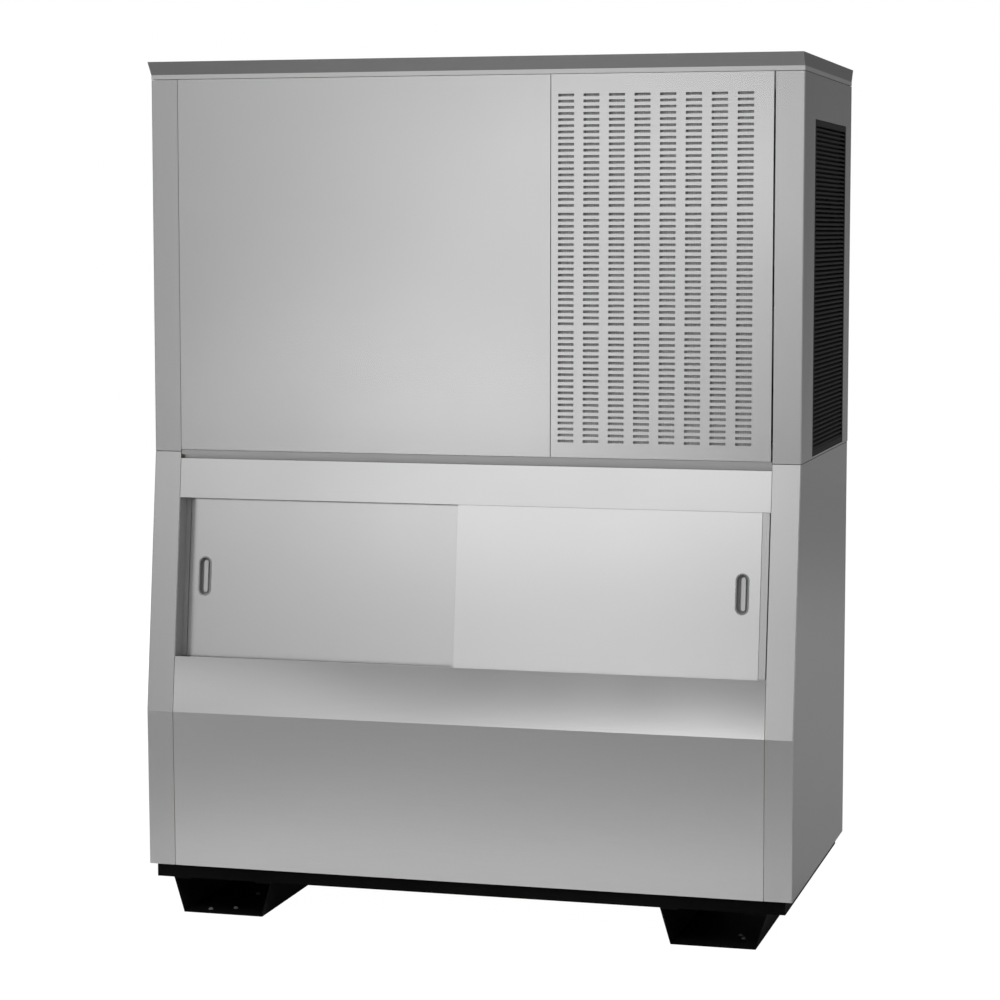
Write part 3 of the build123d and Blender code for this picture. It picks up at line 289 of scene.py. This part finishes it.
def buildStipple(p):
    # Moulded or coated skin: small pits and a slow drift of tone
    group, given, result = startGroup(
        "stipple",
        [("Vector", "NodeSocketVector", None), ("Pit Scale", "NodeSocketFloat", p["pitScale"]),
         ("Drift Scale", "NodeSocketFloat", p["driftScale"])],
        [("Pits", "NodeSocketFloat"), ("Drift", "NodeSocketFloat")],
    )
    pits = addNoise(group, p["pitDetail"])
    drift = addNoise(group, p["driftDetail"])
    group.links.new(given.outputs["Vector"], pits.inputs["Vector"])
    group.links.new(given.outputs["Pit Scale"], pits.inputs["Scale"])
    group.links.new(given.outputs["Vector"], drift.inputs["Vector"])
    group.links.new(given.outputs["Drift Scale"], drift.inputs["Scale"])
    group.links.new(pits.outputs["Fac"], result.inputs["Pits"])
    group.links.new(drift.outputs["Fac"], result.inputs["Drift"])
    return group


spangled = {"flakeScale": 90, "cloudScale": 2.2, "cloudDetail": 3}


def buildSpangle(c):
    # Zinc crystals: each flake its own tone, with a slow cloud over them
    group, given, result = startGroup(
        "spangle",
        [("Vector", "NodeSocketVector", None), ("Flake Scale", "NodeSocketFloat", c["flakeScale"]),
         ("Cloud Scale", "NodeSocketFloat", c["cloudScale"])],
        [("Flakes", "NodeSocketFloat"), ("Clouds", "NodeSocketFloat")],
    )
    flakes = group.nodes.new("ShaderNodeTexVoronoi")
    split = group.nodes.new("ShaderNodeSeparateColor")
    clouds = addNoise(group, c["cloudDetail"])
    group.links.new(given.outputs["Vector"], flakes.inputs["Vector"])
    group.links.new(given.outputs["Flake Scale"], flakes.inputs["Scale"])
    group.links.new(flakes.outputs["Color"], split.inputs["Color"])
    group.links.new(given.outputs["Vector"], clouds.inputs["Vector"])
    group.links.new(given.outputs["Cloud Scale"], clouds.inputs["Scale"])
    group.links.new(split.outputs["Red"], result.inputs["Flakes"])
    group.links.new(clouds.outputs["Fac"], result.inputs["Clouds"])
    return group


brushing = buildBrushing(brushed)
stipple = buildStipple(stippled)
spangle = buildSpangle(spangled)

noiseMiddle = (0.3, 0.7)  # where nearly all of a noise texture's values lie


def spread(tree, value, low, high):
    # Maps the middle of a noise onto a range, for tone or roughness
    mapping = tree.nodes.new("ShaderNodeMapRange")
    mapping.inputs["From Min"].default_value = noiseMiddle[0]
    mapping.inputs["From Max"].default_value = noiseMiddle[1]
    mapping.inputs["To Min"].default_value = low
    mapping.inputs["To Max"].default_value = high
    tree.links.new(value, mapping.inputs["Value"])
    return mapping.outputs["Result"]


def grey(tree, value):
    colour = tree.nodes.new("ShaderNodeCombineColor")
    for channel in ("Red", "Green", "Blue"):
        tree.links.new(value, colour.inputs[channel])
    return colour.outputs["Color"]


def raised(tree, height, depth):
    bump = tree.nodes.new("ShaderNodeBump")
    bump.inputs["Strength"].default_value = 1.0
    bump.inputs["Distance"].default_value = depth
    tree.links.new(height, bump.inputs["Height"])
    return bump.outputs["Normal"]


def startMaterial(name, group):
    material = bpy.data.materials.new(name)
    material.use_nodes = True
    tree = material.node_tree
    effect = tree.nodes.new("ShaderNodeGroup")
    effect.node_tree = group
    where = tree.nodes.new("ShaderNodeTexCoord")
    tree.links.new(where.outputs["Object"], effect.inputs["Vector"])
    return material, tree, tree.nodes["Principled BSDF"], effect, where


# Brushed steel: the grain runs along the axis that is squeezed

alongX = (0.012, 1, 1)
alongZ = (1, 1, 0.012)
glossDrift = 0.015

sheets = {
    "frontSteel": {"tone": 0.62, "spread": 0.012, "rough": 0.20, "grain": alongX, "depth": 0.000004},
    "lowerSteel": {"tone": 0.62, "spread": 0.012, "rough": 0.09, "grain": alongX, "depth": 0.0000015},
    # The two doors are one steel. The left door's lower tone is painted shade for its recess behind the
    # right door, and the right door's higher tone is painted light.
    "leftDoorPaintedShadeSteel": {"tone": 0.60, "spread": 0.012, "rough": 0.20, "grain": alongX, "depth": 0.000004},
    "rightDoorPaintedLightSteel": {"tone": 0.66, "spread": 0.012, "rough": 0.20, "grain": alongX, "depth": 0.000004},
    "uprightSteel": {"tone": 0.50, "spread": 0.012, "rough": 0.22, "grain": alongZ, "depth": 0.000004},
    "sideSteel": {"tone": 0.56, "spread": 0.012, "rough": 0.22, "grain": alongZ, "depth": 0.000004},
    "pullSteel": {"tone": 0.68, "spread": 0.010, "rough": 0.34, "grain": alongZ, "depth": 0.000002},
    "trimSteel": {"tone": 0.50, "spread": 0.010, "rough": 0.32, "grain": alongX, "depth": 0.000004},
    "jambSteel": {"tone": 0.50, "spread": 0.010, "rough": 0.40, "grain": alongZ, "depth": 0.000004},
    "nickelPlate": {"tone": 0.66, "spread": 0.02, "rough": 0.25, "grain": alongX, "depth": 0.000003},
    "finStock": {"tone": 0.55, "spread": 0.03, "rough": 0.38, "grain": alongZ, "depth": 0.000003},
}


def brushedSheet(name, s):
    material, tree, skin, effect, _ = startMaterial(name, brushing)
    effect.inputs["Stretch"].default_value = s["grain"]
    skin.inputs["Metallic"].default_value = 1
    low, high = s["tone"] - s["spread"], s["tone"] + s["spread"]
    tone = grey(tree, spread(tree, effect.outputs["Lines"], low, high))
    tree.links.new(tone, skin.inputs["Base Color"])
    rough = spread(tree, effect.outputs["Clouds"], s["rough"] - glossDrift, s["rough"] + glossDrift)
    tree.links.new(rough, skin.inputs["Roughness"])
    tree.links.new(raised(tree, effect.outputs["Lines"], s["depth"]), skin.inputs["Normal"])
    return material


finishes = {name: brushedSheet(name, values) for name, values in sheets.items()}

# Top cover: one brushed steel in two tones. Above the fold its dark tone is painted shade for the darker
# reflection in the flared face, and the short skirt below the fold is left bright as painted light.

crown = {
    # painted shade: the flared face's darker reflection, painted into its tone
    "dark": 0.28,
    "spread": 0.01,
    # painted light: the vertical skirt's brighter look, painted into its tone
    "light": 0.66,
    "foldHeight": 1.8978,
    "rough": 0.30,
    "depth": 0.000004,
}


def crownPaintedLightAndShade(c):
    material, tree, skin, effect, where = startMaterial("crownPaintedLightAndShade", brushing)
    effect.inputs["Stretch"].default_value = alongX
    skin.inputs["Metallic"].default_value = 1
    skin.inputs["Roughness"].default_value = c["rough"]
    place = tree.nodes.new("ShaderNodeSeparateXYZ")
    tree.links.new(where.outputs["Object"], place.inputs["Vector"])
    # Above the fold the tone is painted shade, below it painted light
    aboveFold = mathNode(tree, "GREATER_THAN", place.outputs["Z"], c["foldHeight"])
    tone = tree.nodes.new("ShaderNodeMix")
    tone.data_type = "RGBA"
    tone.inputs["A"].default_value = (c["light"], c["light"], c["light"], 1)
    low, high = c["dark"] - c["spread"], c["dark"] + c["spread"]
    dark = grey(tree, spread(tree, effect.outputs["Lines"], low, high))
    tree.links.new(aboveFold, tone.inputs["Factor"])
    tree.links.new(dark, tone.inputs["B"])
    tree.links.new(tone.outputs["Result"], skin.inputs["Base Color"])
    tree.links.new(raised(tree, effect.outputs["Lines"], c["depth"]), skin.inputs["Normal"])
    return material


finishes["crownPaintedLightAndShade"] = crownPaintedLightAndShade(crown)

# Plastics, paints, foam and rubber

skins = {
    "blackCoat": {
        "colour": (0.002, 0.002, 0.002), "spread": 0.001,
        "rough": 0.6, "shine": 0.05, "pits": 380, "depth": 0.00006,
    },
    "grillePlastic": {
        "colour": (0.006, 0.006, 0.006), "spread": 0.002,
        "rough": 0.6, "shine": 0.15, "pits": 900, "depth": 0.00003,
    },
    "shroudPaint": {
        "colour": (0.012, 0.012, 0.012), "spread": 0.003,
        "rough": 0.7, "shine": 0.2, "pits": 600, "depth": 0.00004,
    },
    "pullPlastic": {
        "colour": (0.22, 0.22, 0.22), "spread": 0.006,
        "rough": 0.38, "pits": 1200, "depth": 0.00002,
    },
    "switchPlastic": {
        "colour": (0.02, 0.02, 0.02), "spread": 0.004,
        "rough": 0.35, "pits": 1200, "depth": 0.00002,
    },
    "trackPlastic": {
        "colour": (0.30, 0.30, 0.30), "spread": 0.01,
        "rough": 0.45, "pits": 800, "depth": 0.00002,
    },
    "palePlastic": {
        "colour": (0.62, 0.63, 0.63), "spread": 0.02,
        "rough": 0.40, "pits": 600, "depth": 0.00002,
    },
    "linerPlastic": {
        "colour": (0.72, 0.74, 0.75), "spread": 0.01,
        "rough": 0.28, "pits": 300, "depth": 0.00002,
    },
    "foam": {
        "colour": (0.62, 0.55, 0.38), "spread": 0.05,
        "rough": 0.9, "pits": 500, "depth": 0.0004,
    },
    "seal": {
        "colour": (0.03, 0.03, 0.03), "spread": 0.006,
        "rough": 0.8, "pits": 900, "depth": 0.00010,
    },
    "shellEnamel": {
        "colour": (0.010, 0.010, 0.011), "spread": 0.002,
        "rough": 0.25, "pits": 200, "depth": 0.00005,
    },
    "motorPaint": {
        "colour": (0.06, 0.06, 0.065), "spread": 0.01,
        "rough": 0.45, "pits": 500, "depth": 0.00005,
    },
    "boxPlastic": {
        "colour": (0.30, 0.31, 0.31), "spread": 0.02,
        "rough": 0.5, "pits": 600, "depth": 0.00003,
    },
    "filterMesh": {
        "colour": (0.52, 0.52, 0.52), "spread": 0.03,
        "rough": 0.9, "pits": 1400, "depth": 0.0002,
    },
    "fanPlastic": {
        "colour": (0.09, 0.09, 0.09), "spread": 0.01,
        "rough": 0.42, "pits": 700, "depth": 0.00003,
    },
}


def mouldedSkin(name, s):
    material, tree, skin, effect, _ = startMaterial(name, stipple)
    effect.inputs["Pit Scale"].default_value = s["pits"]
    skin.inputs["Roughness"].default_value = s["rough"]
    if "shine" in s:
        skin.inputs["Specular IOR Level"].default_value = s["shine"]
    tone = tree.nodes.new("ShaderNodeMix")
    tone.data_type = "RGBA"
    tone.inputs["A"].default_value = tuple(max(c - s["spread"], 0) for c in s["colour"]) + (1,)
    tone.inputs["B"].default_value = tuple(c + s["spread"] for c in s["colour"]) + (1,)
    tree.links.new(spread(tree, effect.outputs["Drift"], 0, 1), tone.inputs["Factor"])
    tree.links.new(tone.outputs["Result"], skin.inputs["Base Color"])
    tree.links.new(raised(tree, effect.outputs["Pits"], s["depth"]), skin.inputs["Normal"])
    return material


finishes.update({name: mouldedSkin(name, values) for name, values in skins.items()})

# Copper tube, bright with dull patches

copper = {
    "bright": (0.80, 0.42, 0.26),
    "dull": (0.48, 0.24, 0.15),
    "driftScale": 14,
    "brightRough": 0.33,
    "dullRough": 0.48,
}


def copperTube(c):
    material, tree, skin, effect, _ = startMaterial("copperTube", stipple)
    effect.inputs["Drift Scale"].default_value = c["driftScale"]
    skin.inputs["Metallic"].default_value = 1
    tone = tree.nodes.new("ShaderNodeMix")
    tone.data_type = "RGBA"
    tone.inputs["A"].default_value = c["bright"] + (1,)
    tone.inputs["B"].default_value = c["dull"] + (1,)
    tree.links.new(spread(tree, effect.outputs["Drift"], 0, 1), tone.inputs["Factor"])
    tree.links.new(tone.outputs["Result"], skin.inputs["Base Color"])
    rough = spread(tree, effect.outputs["Drift"], c["brightRough"], c["dullRough"])
    tree.links.new(rough, skin.inputs["Roughness"])
    return material


finishes["copperTube"] = copperTube(copper)

# Galvanised sheet: faint flakes in tone and gloss

zinc = {"tone": 0.56, "flakes": 0.022, "clouds": 0.05, "dull": 0.45, "glossy": 0.35, "flakeScale": 95}


def zincSheet(z):
    material, tree, skin, effect, _ = startMaterial("zincSheet", spangle)
    effect.inputs["Flake Scale"].default_value = z["flakeScale"]
    skin.inputs["Metallic"].default_value = 1
    flakes = spread(tree, effect.outputs["Flakes"], -z["flakes"], z["flakes"])
    clouds = spread(tree, effect.outputs["Clouds"], z["tone"] - z["clouds"], z["tone"] + z["clouds"])
    tree.links.new(grey(tree, mathNode(tree, "ADD", flakes, clouds)), skin.inputs["Base Color"])
    rough = spread(tree, effect.outputs["Flakes"], z["glossy"], z["dull"])
    tree.links.new(rough, skin.inputs["Roughness"])
    return material


finishes["zincSheet"] = zincSheet(zinc)

# Which nodes wear which finish

wears = {
    "frontSteel": "left_front_panel vent_panel fascia",
    # Each door wears its own tone of the one door steel: the left painted shade, the right painted light
    "leftDoorPaintedShadeSteel": "left_door",
    "rightDoorPaintedLightSteel": "right_door",
    "lowerSteel": "lower_front_panel",
    "uprightSteel": "right_jamb",
    "sideSteel": "left_bin_panel right_bin_panel left_head_panel right_head_panel",
    "trimSteel": "joint_rail",
    "crownPaintedLightAndShade": "top_cover",
    "jambSteel": "left_jamb",
    "zincSheet": "bin_floor bin_back head_back head_base_pan header_rail mullion divider",
    "shroudPaint": "fan_shroud",
    "nickelPlate": "left_evaporator right_evaporator",
    "finStock": "condenser",
    "blackCoat": "base_frame left_skid right_skid",
    "grillePlastic": "side_grille",
    "pullPlastic": "left_pull right_pull",
    "switchPlastic": "mode_switch switch_housing power_inlet",
    "trackPlastic": "top_track bottom_track",
    "palePlastic": "left_door_glides right_door_glides bulkhead bin_rim drain_outlet water_pump "
                   "water_trough water_distributor left_water_curtain right_water_curtain "
                   "float_arm float_valve",
    "linerPlastic": "bin_liner",
    "foam": "bin_insulation",
    "seal": "joint_gasket",
    "shellEnamel": "compressor liquid_receiver",
    "motorPaint": "fan_motor",
    "boxPlastic": "control_box",
    "fanPlastic": "fan",
    "copperTube": "suction_line water_inlet",
}


def finish(piece, name):
    piece.data.materials.clear()
    piece.data.materials.append(finishes[name])


for finishName, members in wears.items():
    for node in members.split():
        finish(nodes[node], finishName)
bare = sorted(set(nodes) - {node for members in wears.values() for node in members.split()})
print("stage: finishes, nodes without one:", bare)


# New pieces

def addPiece(bm, name, finishName, body):
    bmesh.ops.recalc_face_normals(bm, faces=bm.faces)
    mesh = bpy.data.meshes.new(name)
    bm.to_mesh(mesh)
    bm.free()
    piece = bpy.data.objects.new(name, mesh)
    bpy.context.scene.collection.objects.link(piece)
    finish(piece, finishName)
    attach(piece, body)
    return piece


def drawUp(bm, height):
    # Draws the flat face in the bmesh up into a solid; gives the corners of its top
    drawn = bmesh.ops.extrude_face_region(bm, geom=bm.faces[:])
    top = [item for item in drawn["geom"] if isinstance(item, bmesh.types.BMVert)]
    bmesh.ops.translate(bm, verts=top, vec=(0, 0, height))
    return top


button = {  # shares of the head's radius, and of its height for the recess
    "segments": 24,
    "crown": 0.55,
    "rim": 0.12,
    "wall": 0.04,
    "recess": 0.6,
}


def buttonHead(bm, place, towards, radius, height):
    # A tapered round head with a recess, its top towards the given direction
    turn = Vector(towards).to_track_quat("Z", "Y").to_matrix().to_4x4()
    base = bmesh.ops.create_cone(
        bm, cap_ends=True, segments=button["segments"], depth=height,
        radius1=radius, radius2=radius * button["crown"],
        matrix=Matrix.Translation(place) @ turn @ Matrix.Translation((0, 0, height / 2)),
    )
    top = max({face for vert in base["verts"] for face in vert.link_faces},
              key=lambda face: face.calc_center_median().dot(Vector(towards)))
    bmesh.ops.inset_region(bm, faces=[top], thickness=radius * button["rim"], depth=0)
    bmesh.ops.inset_region(
        bm, faces=[top], thickness=radius * button["wall"], depth=-height * button["recess"],
    )


# Skid bolts: in the flat feet of the two skids

skidBolts = {
    "places": [
        (-0.606, -0.3545),
        (-0.554, -0.3306),
        (-0.552, -0.1887),
        (0.610, -0.2792),
        (0.621, -0.3044),
    ],
    "footThickness": 0.003,
    "radius": 0.006,
    "height": 0.004,
}


def setSkidBolts(s):
    bm = bmesh.new()
    for x, y in s["places"]:
        buttonHead(bm, Vector((x, y, s["footThickness"])), (0, 0, 1), s["radius"], s["height"])
    addPiece(bm, "skidBolts", "motorPaint", "cabinet")


setSkidBolts(skidBolts)

# The leaning front of the bin, from the head joint down to the break

slope = {"topY": -0.326, "topZ": 1.0503, "run": 0.070, "rise": 0.5863}
lean = atan2(slope["run"], slope["rise"])


def onSlope(x, drop, depth):
    # A point so far down the leaning front and so deep behind it
    y = slope["topY"] - drop * sin(lean) + depth * cos(lean)
    z = slope["topZ"] - drop * cos(lean) - depth * sin(lean)
    return Vector((x, y, z))


# Pull plates: a bright obround plate on the floor of each dark cup

pullPlates = {
    "length": 0.074,
    "width": 0.011,
    "thickness": 0.005,
    "segments": 40,
    "rounding": 0.0008,
    "drop": 0.281,  # down the leaning front from the head joint
    "cups": [
        {"door": "left_door", "x": -0.6305, "depth": 0.064},
        {"door": "right_door", "x": 0.618, "depth": 0.032},
    ],
}


def obround(bm, s):
    # A round plate whose two halves are moved apart along Y, its back face on the XY plane
    disc = bmesh.ops.create_circle(bm, cap_ends=True, segments=s["segments"], radius=s["width"] / 2)
    reach = (s["length"] - s["width"]) / 2
    for vert in disc["verts"]:
        vert.co.y += reach if vert.co.y > 0 else -reach
    top = drawUp(bm, s["thickness"])
    rim = [edge for edge in bm.edges if all(vert in top for vert in edge.verts)]
    bmesh.ops.bevel(
        bm, geom=rim, offset=s["rounding"], affect="EDGES", segments=2, profile=0.5, material=-1,
    )


def setPullPlates(s):
    for cup in s["cups"]:
        bm = bmesh.new()
        obround(bm, s)
        floor = onSlope(cup["x"], s["drop"], cup["depth"])
        place = Matrix.Translation(floor) @ Matrix.Rotation(radians(90) - lean, 4, "X")
        bmesh.ops.transform(bm, matrix=place, verts=bm.verts)
        addPiece(bm, cup["door"] + "_pullPlate", "pullSteel", cup["door"])


setPullPlates(pullPlates)

# Jamb bead: a dark rubber bead down the corner where the right jamb meets the flange

jambBead = {
    "x": 0.6765,
    "halfWidth": 0.0015,
    "halfDepth": 0.0012,
    "depth": 0.0013,  # behind the leaning front
    "top": 0.1045,  # both ends are drops down the leaning front
    "foot": 0.463,
    "segments": 16,
}


def layJambBead(s):
    bm = bmesh.new()
    bmesh.ops.create_circle(bm, cap_ends=True, segments=s["segments"], radius=s["halfWidth"])
    bmesh.ops.scale(bm, vec=(1, s["halfDepth"] / s["halfWidth"], 1), verts=bm.verts)
    drawUp(bm, s["foot"] - s["top"])
    foot = onSlope(s["x"], s["foot"], s["depth"])
    place = Matrix.Translation(foot) @ Matrix.Rotation(-lean, 4, "X")
    bmesh.ops.transform(bm, matrix=place, verts=bm.verts)
    addPiece(bm, "jambBead", "seal", "cabinet")


layJambBead(jambBead)

# Air filter: a pleated pad behind the vent slots

airFilter = {"setBack": 0.009, "pleats": 96, "pleatDepth": 0.0012, "edge": 0.003, "wall": 0.0006}


def hangAirFilter(s):
    low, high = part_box("vent_panel")
    wide = high.x - low.x - 2 * s["edge"]
    tall = high.z - low.z - 2 * s["edge"]
    bm = bmesh.new()
    bmesh.ops.create_grid(bm, x_segments=2 * s["pleats"], y_segments=1, size=0.5)  # one metre square
    bmesh.ops.scale(bm, vec=(wide, tall, 1), verts=bm.verts)
    columns = sorted({round(vert.co.x, 5) for vert in bm.verts})
    for vert in bm.verts:
        if columns.index(round(vert.co.x, 5)) % 2:
            vert.co.z += s["pleatDepth"]
    middle = Vector(((low.x + high.x) / 2, low.y + s["setBack"], (low.z + high.z) / 2))
    upright = Matrix.Translation(middle) @ Matrix.Rotation(radians(90), 4, "X")
    bmesh.ops.transform(bm, matrix=upright, verts=bm.verts)
    pad = addPiece(bm, "airFilter", "filterMesh", "cabinet")
    wall = pad.modifiers.new("wall", "SOLIDIFY")
    wall.thickness = s["wall"]


hangAirFilter(airFilter)

# Case screws: a row down each rear flange of the bin and of the head

caseScrews = {
    "fromEdge": 0.015,
    "fromEnd": 0.045,
    "radius": 0.0042,
    "height": 0.0022,
    "panels": [
        {"panel": "left_bin_panel", "side": -1, "count": 6},
        {"panel": "right_bin_panel", "side": 1, "count": 6},
        {"panel": "left_head_panel", "side": -1, "count": 5},
        {"panel": "right_head_panel", "side": 1, "count": 5},
    ],
}


def setCaseScrews(s):
    bm = bmesh.new()
    for row in s["panels"]:
        low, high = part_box(row["panel"])
        x = high.x - s["fromEdge"] if row["side"] > 0 else low.x + s["fromEdge"]
        step = (high.z - low.z - 2 * s["fromEnd"]) / (row["count"] - 1)
        for index in range(row["count"]):
            place = Vector((x, high.y, low.z + s["fromEnd"] + index * step))
            buttonHead(bm, place, (0, 1, 0), s["radius"], s["height"])
    addPiece(bm, "caseScrews", "finStock", "cabinet")


setCaseScrews(caseScrews)
print("stage: new pieces")


print("stage: done")
